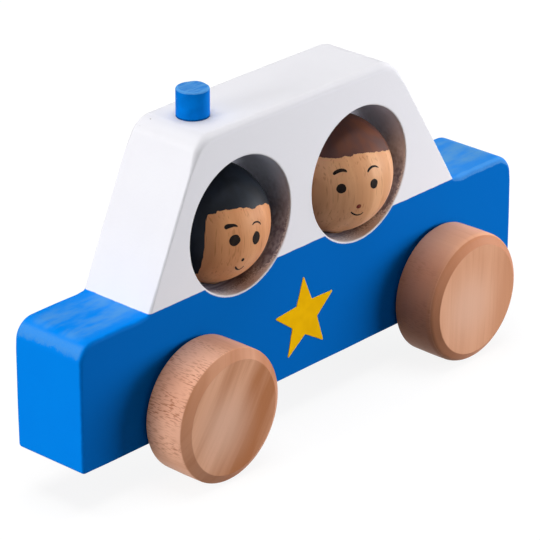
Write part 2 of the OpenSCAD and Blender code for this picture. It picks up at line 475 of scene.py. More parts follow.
def blue_coat(g, f):
    """Blue below the belt: deeper on the broad sides as painted shade, paler on top as brushed thin paint
    with painted sheen, and paler along the edges as rubbed paint with painted sheen.
    """
    blue = g.mix(g.smooth(f.mottle, 0.3, 0.75) * 0.25, BLUE, BLUE_PALE)
    blue = g.mix(f.thick, blue, BLUE_SIDE_SHADE)
    at_boot = g.smooth(f.x, -40.0, -60.0)
    inland = g.smooth(f.depth + f.wobble * 3.0, 1.0, 6.0)
    on_top = g.smooth(f.z, BELT - 1.2, BELT - 0.2) * (1.0 - f.thick)
    brushed = g.smooth(g.grain((0.10, 0.25, 0.10), 3.0), 0.3, 0.62)
    # Paler bonnet and boot tops: brushed thin paint, and painted sheen, strongest on the boot
    thin = brushed * inland * 0.75 + at_boot * 0.3
    blue = g.mix(on_top * thin, blue, BLUE_WORN_AND_SHEEN)
    # Pale band along the edges near the belt: rubbed paint, and a painted sheen on the rounding
    ragged = f.on_edge + f.wobble * 0.9 + (f.speck - 0.5) * 0.6
    sheltered = g.math("MAXIMUM", at_boot, g.smooth(f.depth, 0.5, 1.3))
    streak = g.noise(g.joined(f.y * 0.9, f.z * 0.12, f.x * 0.12)) - 0.5
    near_belt = g.smooth(f.z + streak * 3.0, BELT - 4.8, BELT - 2.8)
    rubbed_and_sheen = g.smooth(ragged, 0.35, 0.6) * near_belt * sheltered
    crest = g.smooth(f.z, BELT - 1.6, BELT - 0.6) * (1.0 - at_boot)
    return g.mix(rubbed_and_sheen * (1.0 - crest) * (0.25 + f.speck * 0.5), blue, BLUE_WORN_AND_SHEEN)


def white_coat(g, f):
    """White above the belt: lighter on the broad sides as painted light, and greyer on the sanded edges as
    worn paint with painted shade that dims their bright band.
    """
    white = g.mix(g.smooth(f.mottle, 0.35, 0.8) * 0.3, WHITE, WHITE_THIN)
    white = g.mix(f.thick, white, WHITE_SIDE_LIT)
    # Rounded edges greyer: worn paint, and painted shade that dims their bright band
    return g.mix(g.smooth(f.on_edge + f.wobble * 0.2, 0.1, 0.9) * 0.6, white, WHITE_WORN_AND_SHADE)


def window_wall(g, f):
    """Thinly painted wood in the windows, barest low down, with overspray from the faces; the paint high up
    is lighter and bluer than the board's white as painted light, and the bare wood below is dark blue-grey
    as painted shade.
    """
    # Paint high in the window and bare wood low down: thinner overspray low down, with painted light above
    # and painted shade below
    upper = g.smooth(f.z + f.wobble * 8.0, WINDOW_Z - 8.0, WINDOW_Z + 8.0)
    bottom = g.smooth(f.z + f.wobble * 4.0, WINDOW_Z - 11.0, WINDOW_Z - 16.0)
    reach = f.depth + (f.speck - 0.5) * (3.0 + bottom * 6.0)
    spray = 1.0 - g.smooth(reach * (2.0 - bottom * 1.6), 0.3, 2.0)
    grain = g.grain((0.12, 1.1, 0.9), 3.0)
    raw = g.mix(g.smooth(grain, 0.3, 0.7) * 0.3, BARE_WOOD_SHADE, WALL_PAINT_LIT)
    raw = g.mix(upper * (0.85 + grain * 0.3), raw, WALL_PAINT_LIT)
    return g.mix(spray, raw, WHITE_THIN)


def board_paint():
    """White over blue paint on the board, with thin overspray inside the windows."""
    g = Graph("board_paint")
    f = board_fields(g)
    is_white = g.smooth(f.z + f.wobble * 0.25, BELT + 0.12, BELT + 0.32)
    colour = g.mix(is_white, blue_coat(g, f), white_coat(g, f))
    on_rim = 1.0 - g.smooth(f.hole + f.speck * 0.3, 0.45, 0.7)
    colour = g.mix(on_rim, colour, WHITE)
    in_window = 1.0 - g.smooth(f.hole, 0.02, 0.2)
    colour = g.mix(in_window, colour, window_wall(g, f))
    chips = g.smooth(g.grain(0.75, 3.0, 0.6), 0.685, 0.72)
    chips = chips * g.smooth(f.on_edge, 0.5, 0.9) * g.smooth(f.y, 2.0, -6.0)
    colour = g.mix(chips * is_white, colour, CHIP)
    roughness = 0.40 + f.speck * 0.12 + is_white * 0.08
    normal = g.bump(paint_skin(g, (0.03, 0.9, 0.9)))
    return g.finish(colour, roughness, normal, PAINT_IOR)


def star_paint():
    """Brushed yellow that varies a little, with the wood grain showing through."""
    g = Graph("star_yellow")
    tint = g.mix(g.smooth(g.grain(0.3, 3.0), 0.3, 0.7) * 0.6, YELLOW, YELLOW_DEEP)
    normal = g.bump(paint_skin(g, (0.9, 0.9, 0.9)))
    return g.finish(tint, 0.36 + g.grain(2.5) * 0.14, normal, PAINT_IOR)


# Woods, as linear colours
WOOD_IOR = 1.2
WHEEL_LIGHT = (0.76, 0.40, 0.25, 1)
WHEEL_DARK = (0.45, 0.17, 0.068, 1)
# Pale middle of the wheel face, as a painted sheen
WHEEL_PALE_SHEEN = (0.78, 0.485, 0.36, 1)
WHEEL_ROSE = (0.77, 0.42, 0.295, 1)
# Deep brown for the bevels and for darker treads
WHEEL_DEEP = (0.47, 0.185, 0.092, 1)
WHEEL_FLECK = (0.33, 0.11, 0.045, 1)
DRIVER_WOOD = (0.74, 0.35, 0.165, 1), (0.58, 0.24, 0.10, 1), (0.32, 0.10, 0.03, 1)
PASSENGER_WOOD = (0.80, 0.43, 0.23, 1), (0.62, 0.29, 0.135, 1), (0.36, 0.12, 0.035, 1)
DOWEL_LIGHT = (0.52, 0.31, 0.19, 1)
DOWEL_DARK = (0.42, 0.23, 0.13, 1)
ALONG_Y = (math.pi / 2, 0.0, 0.0)
UPRIGHT = (0.0, 0.0, 0.0)


def beech(name, light, dark, fleck, turn, seed):
    """Beech with its grain along the turned Z axis, its rings across X, and short dark flecks."""
    g = Graph(name)
    inputs = {"Vector": g.place, "Rotation": turn}
    turned = g.node("ShaderNodeVectorRotate", inputs, rotation_type="EULER_XYZ")
    q = g.vector("ADD", turned, (seed * 17.3, seed * 9.1, seed * 23.7))
    sway = g.grain((0.02, 0.03, 0.012), 1.0, of=q) - 0.5
    qx, qy, qz = g.parts(q)
    bent = g.joined(qx + sway * 3.0, qy, qz)
    rings = g.grain((0.30, 0.05, 0.012), of=bent)
    lines = g.grain((1.9, 0.5, 0.03), of=bent)
    flecks = g.smooth(g.grain((1.5, 1.5, 0.07), 1.0, of=q), 0.62, 0.78)
    streaks = g.smooth(g.grain((2.6, 0.8, 0.10), 1.0, of=bent), 0.64, 0.74)
    colour = g.mix(g.smooth(rings, 0.34, 0.68) * 0.7, light, dark)
    colour = g.mix(g.smooth(lines, 0.5, 0.75) * 0.3, colour, dark)
    colour = g.mix(streaks * 0.45, colour, fleck)
    colour = g.mix(flecks * 0.4, colour, fleck)
    height = lines * 0.5 - flecks * 0.6
    return g.finish(colour, 0.36 + rings * 0.12, g.bump(height), WOOD_IOR)


Wheel = namedtuple("Wheel", "body lean rounding flecks stripes bevel burnt")
# The rear left wheel's tread darkening is painted shade, where the front wheel and the body keep the light
# off
WHEELS = {
    "wheel_front_left": Wheel("front_axle_set", 33, 0.6, 0.9, 1.0, 0.5, 0.0),
    "wheel_front_right": Wheel("front_axle_set", -40, 0.8, 0.6, 0.8, 0.3, 0.1),
    "wheel_rear_left": Wheel("rear_axle_set", 2, 2.4, 0.3, 0.35, 0.8, 0.75),
    "wheel_rear_right": Wheel("rear_axle_set", 70, 1.0, 0.5, 0.7, 0.5, 0.4),
}


def wheel_fields(g, node, radius, width, side):
    """What the wood of a wheel depends on: place across and along its rings, and the surface."""
    x, y, z = g.parts(g.place)
    w = SimpleNamespace(x=x, y=y, z=z, radius=radius)
    lean = math.radians(WHEELS[node].lean)
    w.across = x * math.cos(lean) + z * math.sin(lean)
    w.along = z * math.cos(lean) - x * math.sin(lean)
    w.around = g.math("SQRT", x * x + z * z)
    outward = y * side
    bevel_start = width - WHEEL_BEVEL_WIDTH
    bevel_end = radius - WHEEL_BEVEL_DEPTH
    w.on_face = g.smooth(outward, width - 0.3, width - 0.1)
    w.on_bevel = g.smooth(outward, bevel_start - 0.1, bevel_start + 0.15)
    w.on_bevel = w.on_bevel * g.smooth(w.around, bevel_end - 0.2, bevel_end + 0.1)
    w.on_tread = g.smooth(w.around, radius - 0.6, radius - 0.3) * (1.0 - w.on_bevel)
    w.tangent = g.smooth(g.math("ABSOLUTE", w.across), radius * 0.35, radius * 0.85)
    return w


def tread_flecks(g, w, seed):
    """Short dark dashes along the axle, where the tread cuts the rings flat."""
    turn = g.math("ARCTAN2", w.z, w.x) * w.radius
    dashes = g.noise(g.joined(turn * 3.0, w.y * 0.48, seed * 5.0), 1.0)
    clumps = g.noise(g.joined(turn * 0.12, w.y * 0.05, seed * 2.0))
    return g.smooth(dashes, 0.50, 0.63) * w.tangent * g.smooth(clumps, 0.3, 0.6) * w.on_tread


def wheel_beech(node, radius, width, side, seed):
    """Beech turned with its grain along the axle: ring stripes on the face, flecks on the tread, painted
    shade towards one side, a painted sheen in the middle of the face, and a darker bevel and tread.
    """
    g = Graph(node + "_beech")
    w = wheel_fields(g, node, radius, width, side)
    share = WHEELS[node]
    sway = g.noise(g.joined(w.across * 0.03, w.along * 0.03, seed), 1.0) - 0.5
    bent = w.across + sway * 4.0
    stripes = g.noise(g.joined(bent * 0.13, w.along * 0.014, w.y * 0.02 + seed * 7.0), 3.0)
    lines = g.noise(g.joined(bent * 1.6, w.along * 0.05, w.y * 0.03 + seed * 3.0))
    # Darker towards one side across the rings, as painted shade
    painted_shade_side = g.smooth(w.across, 1.0, -radius)
    striped = g.smooth(stripes, 0.3, 0.7) * share.stripes + painted_shade_side * 0.3
    colour = g.mix(striped, WHEEL_LIGHT, WHEEL_DARK)
    colour = g.mix(g.smooth(lines, 0.45, 0.8) * 0.2, colour, WHEEL_DARK)

    # Paler middle of the face: a painted sheen
    off_middle = g.length(g.joined(w.x - 3.0, 0.0, w.z + 1.0))
    pale_middle_sheen = 1.0 - g.smooth(off_middle + sway * 8.0, 1.0, 14.0)
    colour = g.mix(w.on_face * pale_middle_sheen * 0.6, colour, WHEEL_PALE_SHEEN)
    colour = g.mix(w.on_bevel * share.bevel, colour, WHEEL_DEEP)
    colour = g.mix(w.on_tread * (0.2 + w.tangent * 0.35), colour, WHEEL_ROSE)
    # Darker tread; on the rear left wheel this is painted shade
    colour = g.mix(w.on_tread * w.tangent * share.burnt, colour, WHEEL_DEEP)
    flecks = tread_flecks(g, w, seed)
    colour = g.mix(flecks * share.flecks, colour, WHEEL_FLECK)

    cutter = g.noise(g.joined(w.around * 1.8, 0.0, seed), 1.0)
    height = lines * 0.6 + cutter * w.on_face * 0.4 - flecks * 0.6
    return g.finish(colour, 0.42 + stripes * 0.12, g.bump(height), WOOD_IOR)


def edge_radius(place):
    """Sanded rounding of the board's edge at a point of its outline: larger at the corners and the roof."""
    near = min((place - Vector(corner[:2])).length for corner in OUTLINE)
    gain = EDGE_CORNER_GAIN * math.exp(-((near / EDGE_CORNER_REACH) ** 2))
    gain += ROOF_EDGE_GAIN * max(0.0, 1 - (ROOF - place.y) / ROOF_EDGE_REACH)
    past_foot = max(place.x - WINDSCREEN_FOOT, REAR_FOOT - place.x)
    on_belt = min(1.0, max(0.0, past_foot / FOOT_EDGE_REACH))
    on_belt *= max(0.0, 1 - (BELT - place.y) / BELT_EDGE_REACH)
    gain += on_belt * (BONNET_EDGE_GAIN if place.x > 0 else BOOT_EDGE_GAIN)
    wander = noise.noise(Vector((place.x, EDGE_WANDER_SEED, place.y)) / EDGE_WANDER_LENGTH)
    return EDGE_RADIUS + gain + EDGE_WANDER * wander


def sanded_edge(shape, path, radii, side):
    """First and last row of vertices round a sanded edge, from across the board to one of its faces."""
    rings = []
    for k in range(EDGE_STEPS + 1):
        angle = math.pi / 2 * k / EDGE_STEPS
        inward, out = 1 - math.cos(angle), 1 - math.sin(angle)
        ring = []
        for (place, normal, corner), radius in zip(path, radii):
            flat = place - normal * radius * inward
            y = side * (HALF_THICKNESS - radius * out)
            slope = normal * math.cos(angle)
            facing = (slope.x, side * math.sin(angle), slope.y)
            on_edge = max(math.sin(2 * angle), corner * math.cos(angle))
            ring.append(shape.vertex((flat.x, y, flat.y), facing, on_edge))
        rings.append(ring)
    shape.strips(rings)
    return rings[0], rings[-1]


def circle(centre, radius, steps=CIRCLE_STEPS):
    """Points and outward directions round a circle in a plane."""
    row = []
    for i in range(steps):
        angle = 2 * math.pi * i / steps
        out = Vector((math.cos(angle), math.sin(angle)))
        row.append((Vector(centre) + out * radius, out))
    return row


def hole_rim(shape, centre, radius, rim, side):
    """Row of vertices at the start of a hole's wall, and the one where its sanded rim meets a face."""
    path = [(place, -out, 0.0) for place, out in circle(centre, radius)]
    return sanded_edge(shape, path, [rim] * CIRCLE_STEPS, side)


def wall_rows(shape, start, end):
    """Rows of vertices from one row straight to another, with both of them."""
    rows = [start]
    for j in range(1, BAND_COLUMNS):
        share = j / BAND_COLUMNS
        row = []
        for a, b in zip(start, end):
            facing = shape.normals[a].lerp(shape.normals[b], share)
            row.append(shape.vertex(a.co.lerp(b.co, share), facing))
        rows.append(row)
    return rows + [end]


def fill_face(shape, outer, holes, y, facing, spacing):
    """Fills a loop that lies flat at y."""
    shape.fill(
        outer, holes, lambda co: co.xz.copy(),
        lambda p: (p.x, y, p.y), (0, facing, 0), spacing,
    )


def blind_hole(shape, row, offset):
    """Closes a hole at some depth with a flat end."""
    end = [shape.vertex(v.co + offset, shape.normals[v]) for v in row]
    middle = sum((v.co for v in end), Vector()) / len(end)
    shape.strip(row, end)
    shape.fan(end, shape.vertex(middle, -offset))


def underside_holes(shape):
    """Round openings under the necks, as rows in the underside."""
    rows = []
    for place in (DRIVER_PLACE, PASSENGER_PLACE):
        row = []
        for spot, _ in circle((place.x, place.y), BORE_RADIUS):
            row.append(shape.vertex((spot.x, spot.y, UNDERSIDE), (0, 0, -1)))
        rows.append(row)
        blind_hole(shape, row, Vector((0, 0, NECK_RECESS_DEPTH)))
    return rows


def across_board(shape, path, left, right):
    """The board's narrow faces, with the underside left open for its holes."""
    rows = wall_rows(shape, left, right)
    for row in rows[1:-1]:
        for vertex, (_, _, corner) in zip(row, path):
            shape.edges[vertex] = corner
    under = []
    for i, (place, normal, _) in enumerate(path):
        if normal.y < FLAT_TOLERANCE - 1 and place.y < UNDERSIDE + FLAT_TOLERANCE:
            under.append(i)
    shape.strips(rows, skipped=set(under[:-1]))
    start, end = under[0], under[-1]
    loop = [left[i] for i in under]
    loop += [row[end] for row in rows[1:-1]]
    loop += [right[i] for i in reversed(under)]
    loop += [row[start] for row in reversed(rows[1:-1])]
    shape.fill(
        loop, underside_holes(shape), lambda co: co.xy.copy(),
        lambda p: (p.x, p.y, UNDERSIDE), (0, 0, -1), FLAT_GRID,
    )


def make_board():
    """The sawn and sanded board with its window holes, axle bores and neck bores."""
    shape = Shape()
    path = rounded_path(OUTLINE, True, OUTLINE_STEP)
    radii = [edge_radius(place) for place, _, _ in path]
    rims, walls = {}, {}
    for side in (1, -1):
        rims[side], face = sanded_edge(shape, path, radii, side)
        holes = []
        for i, centre in enumerate(WINDOWS):
            walls[i, side], opening = hole_rim(shape, centre, WINDOW_RADIUS, WINDOW_RIM, side)
            holes.append(opening)
        for centre in AXLES:
            wall, opening = hole_rim(shape, centre, BORE_RADIUS, BORE_RIM, side)
            holes.append(opening)
            blind_hole(shape, wall, Vector((0, -side * BORE_DEPTH, 0)))
        fill_face(shape, face, holes, side * HALF_THICKNESS, side, FLAT_GRID)
    for i in range(len(WINDOWS)):
        shape.strips(wall_rows(shape, walls[i, 1], walls[i, -1]))
    across_board(shape, path, rims[1], rims[-1])
    board = shape.piece("board", board_paint())
    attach(board, "car_body")
    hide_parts("body_block")


def lathe(shape, path, place_of=lambda *spot: Vector(spot)):
    """Turns a path of (radius, height) points; place_of maps a turned point into the piece's frame."""
    rows = []
    for point, normal, share in path:
        if point.x < TOUCHING:
            rows.append([shape.vertex(place_of(0, 0, point.y), place_of(0, 0, normal.y), share)])
            continue
        row = []
        for spot, out in circle((0, 0), point.x, LATHE_STEPS):
            facing = place_of(*(out * normal.x), normal.y)
            row.append(shape.vertex(place_of(*spot, point.y), facing, share))
        rows.append(row)
    for first, second in zip(rows, rows[1:]):
        if len(first) == 1:
            shape.fan(second, first[0])
        elif len(second) == 1:
            shape.fan(first, second[0])
        else:
            shape.strip(first, second)


def beacon_paint(height, seam):
    """Blue paint that lies thin and streaked on the sawn top of the dowel and is rubbed at its rim; the
    paler top and rim also stand for a painted sheen.
    """
    g = Graph("beacon_blue")
    z = g.parts(g.place)[2]
    streaks = g.grain((0.3, 1.3, 0.3), 3.0)
    speck = g.grain(2.5)
    on_top = g.smooth(z, height - 0.7, height - 0.3)
    at_foot = 1.0 - g.smooth(z + speck * 0.4, seam + 0.4, seam + 0.8)
    at_rim = g.smooth(g.attribute("edge_share") + speck * 0.4, 0.6, 1.0)
    # Plain blue mottled with the deeper blue of the painted side shade, so the dowel's side reads darker
    colour = g.mix(g.smooth(g.grain(0.3, 3.0), 0.3, 0.7) * 0.5, BLUE_SIDE_SHADE, BLUE)
    # Paler streaked top: brushed thin paint, and painted sheen
    colour = g.mix(on_top * (0.4 + g.smooth(streaks, 0.35, 0.65) * 0.6), colour, BLUE_WORN_AND_SHEEN)
    # Near-black ring at the dowel's foot
    colour = g.mix(at_foot * 0.8, colour, BLUE_FOOT_DARK)
    # Paler rim: rubbed paint, and painted sheen
    colour = g.mix(at_rim * 0.7, colour, BLUE_WORN_AND_SHEEN)
    normal = g.bump(paint_skin(g, (0.9, 0.9, 0.05)) + streaks * on_top)
    return g.finish(colour, 0.36 + speck * 0.14, normal, PAINT_IOR)


def make_beacon():
    """Short painted dowel on the roof, with a softened and slightly uneven top."""
    radius = (BEACON_HIGH.x - BEACON_LOW.x) / 2
    centre = (BEACON_LOW + BEACON_HIGH) / 2
    height = BEACON_HIGH.z - BEACON_LOW.z
    corners = [
        (0, 0, 0),
        (radius, 0, BEACON_FOOT_RADIUS),
        (radius, height, BEACON_TOP_RADIUS),
        (0, height, 0),
    ]
    shape = Shape()
    lathe(shape, rounded_path(corners, False, BEACON_STEP))
    for vertex in shape.bm.verts:
        if vertex.co.z > height - BEACON_TOP_ZONE:
            dent = noise.noise(vertex.co * 0.45) + 0.5 * noise.noise(vertex.co * 1.1)
            vertex.co.z -= BEACON_DENT + BEACON_DENT * dent
    paint = beacon_paint(height, ROOF - BEACON_LOW.z)
    beacon = shape.piece("beacon_peg", paint, place=(centre.x, centre.y, BEACON_LOW.z))
    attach(beacon, "car_body")
    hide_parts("beacon")


def star_path():
    """Outline of the painted star in the X and Z plane."""
    corners = []
    for i in range(10):
        radius, softness = STAR_CORNERS[i % 2]
        angle = math.pi / 2 - STAR_TILT + math.pi / 5 * i
        x = STAR_CENTRE[0] + radius * math.cos(angle)
        z = STAR_CENTRE[1] + radius * math.sin(angle)
        corners.append((x, z, softness))
    return rounded_path(corners, True, STAR_STEP)


def make_star(side, node, paint):
    """Five-point star painted on one face of the board."""
    path = star_path()
    shape = Shape()
    rows = []
    for inset, rise, lean in STAR_EDGE:
        row = []
        for place, normal, _ in path:
            wander = STAR_WANDER * noise.noise(Vector((place.x, side * 5.0, place.y)) * 0.8)
            spot = place - normal * (inset + wander)
            flat = normal * (1 - lean)
            facing = (flat.x, side * lean, flat.y)
            row.append(shape.vertex((spot.x, side * (HALF_THICKNESS + rise), spot.y), facing))
        rows.append(row)
    shape.strips(rows)
    for row, rise, facing in ((rows[-1], STAR_FILM, side), (rows[0], -STAR_SUNK, -side)):
        fill_face(shape, row, [], side * (HALF_THICKNESS + rise), facing, STAR_GRID)
    star = shape.piece(node + "_paint", paint)
    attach(star, "car_body")
    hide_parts(node)


def make_wheel(node, seed):
    """Turned beech wheel with a bevelled outer edge and a blind socket for its axle."""
    low, high = node_box(node)
    centre = (low + high) / 2
    radius, width = (high.x - low.x) / 2, high.y - low.y
    side = math.copysign(1, centre.y)
    corners = [
        (0, WHEEL_SOCKET_DEPTH, 0),
        (SOCKET_RADIUS, WHEEL_SOCKET_DEPTH, SOCKET_END_RADIUS),
        (SOCKET_RADIUS, 0, SOCKET_MOUTH_RADIUS),
        (radius - WHEEL_INNER_DRAFT, 0, WHEEL_EDGE_RADIUS),
        (radius, width / 2, WHEEL_CROWN_RADIUS),
        (radius - WHEEL_OUTER_DRAFT, width - WHEEL_BEVEL_WIDTH, WHEELS[node].rounding),
        (radius - WHEEL_BEVEL_DEPTH, width - WHEEL_OUTER_DRAFT, WHEEL_EDGE_RADIUS),
        (0, width, 0),
    ]
    shape = Shape()
    path = rounded_path(corners, False, WHEEL_STEP)
    lathe(shape, path, lambda x, y, z: Vector((x, side * z, y)))
    wood = wheel_beech(node, radius, width, side, seed)
    inner = centre.y - side * width / 2
    wheel = shape.piece(node + "_turned", wood, place=(centre.x, inner, centre.z))
    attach(wheel, WHEELS[node].body)
    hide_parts(node)


def on_ball(yaw, latitude):
    """Direction from the middle of a head; yaw runs from +Y towards +X, and both angles are in degrees."""
    yaw, latitude = math.radians(yaw), math.radians(latitude)
    level = math.cos(latitude)
    return Vector((level * math.sin(yaw), level * math.cos(yaw), math.sin(latitude)))


def make_ball(name, body, node, place, wood):
    """Clear-finished wooden ball with the socket of its neck."""
    mouth = math.sqrt(HEAD_RADIUS ** 2 - (DOWEL_RADIUS + SOCKET_FLARE) ** 2)
    first = math.asin(-mouth / HEAD_RADIUS)
    socket_top = HEAD_SOCKET_DEPTH - HEAD_RADIUS
    path = [(Vector((0, socket_top)), Vector((0, -1)), 0.0)]
    for height in (socket_top, -mouth + SOCKET_FLARE_DEPTH):
        path.append((Vector((SOCKET_RADIUS, height)), Vector((-1, 0)), 0.0))
    for i in range(BALL_STEPS):
        angle = first + (math.pi / 2 - first) * i / BALL_STEPS
        out = Vector((math.cos(angle), math.sin(angle)))
        path.append((out * HEAD_RADIUS, out, 0.0))
    path.append((Vector((0, HEAD_RADIUS)), Vector((0, 1)), 0.0))
    shape = Shape()
    lathe(shape, path)
    ball = shape.piece(name, wood, place=place)
    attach(ball, body)
    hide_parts(node)


def between(points, at):
    """Value at a yaw of a row of (yaw, value) points, eased between them."""
    for (x0, v0), (x1, v1) in zip(points, points[1:]):
        if x0 <= at <= x1:
            share = (at - x0) / (x1 - x0)
            return v0 + (v1 - v0) * share * share * (3 - 2 * share)
    return points[-1][1]


# Hair, with angles in degrees
HAIR_COLUMNS = 480
HAIR_ROWS = 32
HAIR_CROWDING = 1.5
HAIR_CROWN = 88.5
HAIR_FILM = 0.10
HAIR_EDGE_FILM = 0.15
HAIR_EDGE_RISE = 6
HAIR_STROKE_PITCH = 0.16
HAIR_BRISTLE_PITCH = 0.8
HAIR_BUMP_DEPTH = 0.012
HAIR_IOR = 1.22


def ragged_line(hairline, yaw, tooth, seed):
    """Latitude of the brush-drawn lower edge of the hair at a yaw."""
    stroke = noise.noise(Vector((yaw * HAIR_STROKE_PITCH, seed, 0.0)))
    bristle = noise.noise(Vector((yaw * HAIR_BRISTLE_PITCH, seed, 5.0)))
    return between(hairline, yaw) + tooth * (0.6 * stroke + 0.5 * bristle)


def make_hair(name, body, place, paint, hairline, tooth, seed):
    """Painted hair as a thin film on the ball, down to a ragged brush-drawn line."""
    shape = Shape()
    outer = [[] for _ in range(HAIR_ROWS)]
    inner = [[] for _ in range(HAIR_ROWS)]
    for i in range(HAIR_COLUMNS):
        yaw = -180 + 360 * i / HAIR_COLUMNS
        low = ragged_line(hairline, yaw, tooth, seed)
        for j in range(HAIR_ROWS):
            share = (j / (HAIR_ROWS - 1)) ** HAIR_CROWDING
            film = HAIR_FILM * min(1.0, HAIR_EDGE_FILM + HAIR_EDGE_RISE * share)
            out = on_ball(yaw, low + (HAIR_CROWN - low) * share)
            outer[j].append(shape.vertex(out * (HEAD_RADIUS + film), out))
            inner[j].append(shape.vertex(out * (HEAD_RADIUS - HAIR_FILM), -out))
    for rows in (outer, inner):
        shape.strips(rows)
        tip = sum((v.co for v in rows[-1]), Vector()) / HAIR_COLUMNS
        shape.fan(rows[-1], shape.vertex(tip, shape.normals[rows[-1][0]]))
    shape.strip(outer[0], inner[0])
    hair = shape.piece(name, paint, place=place)
    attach(hair, body)


# Face marks
MARK_FILM = 0.05
MARK_STEPS = 20
DAB_UNEVEN = 0.10
# Share of a dab's size and rise of its film, from its sunk edge inwards
DAB_RINGS = [(1.0, -MARK_FILM), (1.0, MARK_FILM * 0.5), (0.8, MARK_FILM), (0.4, MARK_FILM)]
STROKE_LANES = (-1, -0.5, 0, 0.5, 1)
STROKE_SIDE_FILM = 0.4
STROKE_END_POWER = 8
STROKE_END_WIDTH = 0.02
INK_BUMP_DEPTH = 0.02
INK_IOR = 1.12


def mark_patch(shape, outline, material):
    """A dab of paint on the ball, bounded by (yaw, latitude) points."""
    middle = Vector((sum(p[0] for p in outline), sum(p[1] for p in outline))) / len(outline)
    rings = []
    for share, rise in DAB_RINGS:
        ring = []
        for spot in outline:
            out = on_ball(*(middle + (Vector(spot) - middle) * share))
            ring.append(shape.vertex(out * (HEAD_RADIUS + rise), out))
        rings.append(ring)
    before = set(shape.bm.faces)
    shape.strips(rings)
    out = on_ball(*middle)
    shape.fan(rings[-1], shape.vertex(out * (HEAD_RADIUS + MARK_FILM), out))
    shape.fan(rings[0], shape.vertex(out * (HEAD_RADIUS - MARK_FILM), -out))
    for face in set(shape.bm.faces) - before:
        face.material_index = material


def dab(shape, centre, half_size, material, seed):
    """A round dab with a slightly uneven edge; half_size is in degrees of yaw and latitude."""
    outline = []
    for _, out in circle((0, 0), 1, MARK_STEPS * 2):
        uneven = 1 + DAB_UNEVEN * noise.noise(Vector((*out, seed)) * 1.3)
        outline.append([c + h * uneven * o for c, h, o in zip(centre, half_size, out)])
    mark_patch(shape, outline, material)


def curve_through(points, share):
    """A point of a smooth curve through (yaw, latitude, half width) points."""
    last = len(points) - 1
    i = min(int(share * last), last - 1)
    t = share * last - i
    a, b, c, d = (Vector(points[max(0, min(k, last))]) for k in (i - 1, i, i + 1, i + 2))
    bend = 2 * a - 5 * b + 4 * c - d
    twist = 3 * b - a - 3 * c + d
    return 0.5 * (2 * b + (c - a) * t + bend * t * t + twist * t ** 3)


def stroke_rows(points):
    """Rows of (yaw, latitude) spots across a brush stroke, narrowing to its round ends."""
    spine = [curve_through(points, i / MARK_STEPS) for i in range(MARK_STEPS + 1)]
    rows = []
    for i, spot in enumerate(spine):
        along = (spine[min(i + 1, MARK_STEPS)] - spine[max(i - 1, 0)]).xy.normalized()
        across = Vector((-along.y, along.x)) * spot.z
        end = abs(2 * i / MARK_STEPS - 1)
        narrow = math.sqrt(max(STROKE_END_WIDTH, 1 - end ** STROKE_END_POWER))
        rows.append([spot.xy + across * narrow * lane for lane in STROKE_LANES])
    return rows


def stroke_sheet(shape, rows, rise):
    """One side of a brush stroke's film; the upper one lies lower along its two edges."""
    sheet = []
    for row in rows:
        line = []
        for lane, spot in zip(STROKE_LANES, row):
            out = on_ball(*spot)
            thick = rise * (STROKE_SIDE_FILM if abs(lane) == 1 and rise > 0 else 1.0)
            line.append(shape.vertex(out * (HEAD_RADIUS + thick), out))
        sheet.append(line)
    shape.strips(sheet, skipped=[len(STROKE_LANES) - 1])
    return sheet


def sheet_border(sheet):
    """The vertices round a sheet, in order."""
    border = [line[0] for line in sheet] + sheet[-1][1:]
    return border + [line[-1] for line in reversed(sheet[:-1])] + sheet[0][-2:0:-1]


def brush_stroke(shape, points):
    """A brush stroke with round ends along (yaw, latitude, half width) points, all in degrees."""
    rows = stroke_rows(points)
    sheets = [stroke_sheet(shape, rows, rise) for rise in (MARK_FILM, -MARK_FILM)]
    shape.strip(*(sheet_border(sheet) for sheet in sheets))


def ink(name, colour, shade):
    """Brushed face paint."""
    g = Graph(name)
    thin = g.grain((1.2, 1.2, 0.6))
    tint = g.mix(g.smooth(thin, 0.35, 0.75), colour, shade)
    return g.finish(tint, 0.38 + thin * 0.2, g.bump(thin, INK_BUMP_DEPTH), INK_IOR)


def hair_paint(name, colour, shade):
    """Brushed hair paint, streaked down the ball."""
    g = Graph(name)
    x, y, z = g.parts(g.place)
    around = g.math("ARCTAN2", x, y)
    streaks = g.noise(g.joined(around * 5.0, z * 0.12, 0.0), 3.0)
    speck = g.grain(1.3)
    tint = g.mix(g.smooth(g.grain(0.16) + streaks * 0.3, 0.5, 0.8), colour, shade)
    normal = g.bump(streaks * 0.5 + speck * 0.4, HAIR_BUMP_DEPTH)
    return g.finish(tint, 0.42 + speck * 0.12, normal, HAIR_IOR)


# Hairlines as (yaw, latitude)
DRIVER_HAIRLINE = [
    (-180, -38), (-95, -36), (-66, -30), (-52, 2), (-42, 17), (-29, 22.9), (-13, 26.6), (-9, 25.3),
    (4, 29.4), (11, 31.6), (37, 31.9), (38.6, 29.8), (46.8, 29.3), (48.5, 26), (49.3, 12.3),
    (50.4, -3), (52.2, -14.6), (55.1, -25.7), (59, -35.5), (70, -40), (180, -38),
]
PASSENGER_HAIRLINE = [
    (-180, 2), (-120, 4), (-80, 13), (-51, 20), (-39, 24.1), (-28, 27.8), (-14, 31.6), (-7, 33.3),
    (6.5, 36.3), (23, 37.6), (25, 36.4), (35, 36.4), (42, 35.3), (62, 35.7), (110, 30), (135, 12),
    (180, 2),
]
# Hair and ink, as linear colours
HAIR_BLACK = (0.006, 0.008, 0.012, 1)
HAIR_BLACK_THIN = (0.010, 0.014, 0.022, 1)
HAIR_BROWN = (0.092, 0.043, 0.037, 1)
HAIR_BROWN_THIN = (0.14, 0.05, 0.03, 1)
INK_DARK = (0.013, 0.010, 0.010, 1)
INK_DARK_THIN = (0.030, 0.020, 0.015, 1)
INK_RED = (0.16, 0.028, 0.020, 1)
INK_RED_THIN = (0.25, 0.06, 0.04, 1)
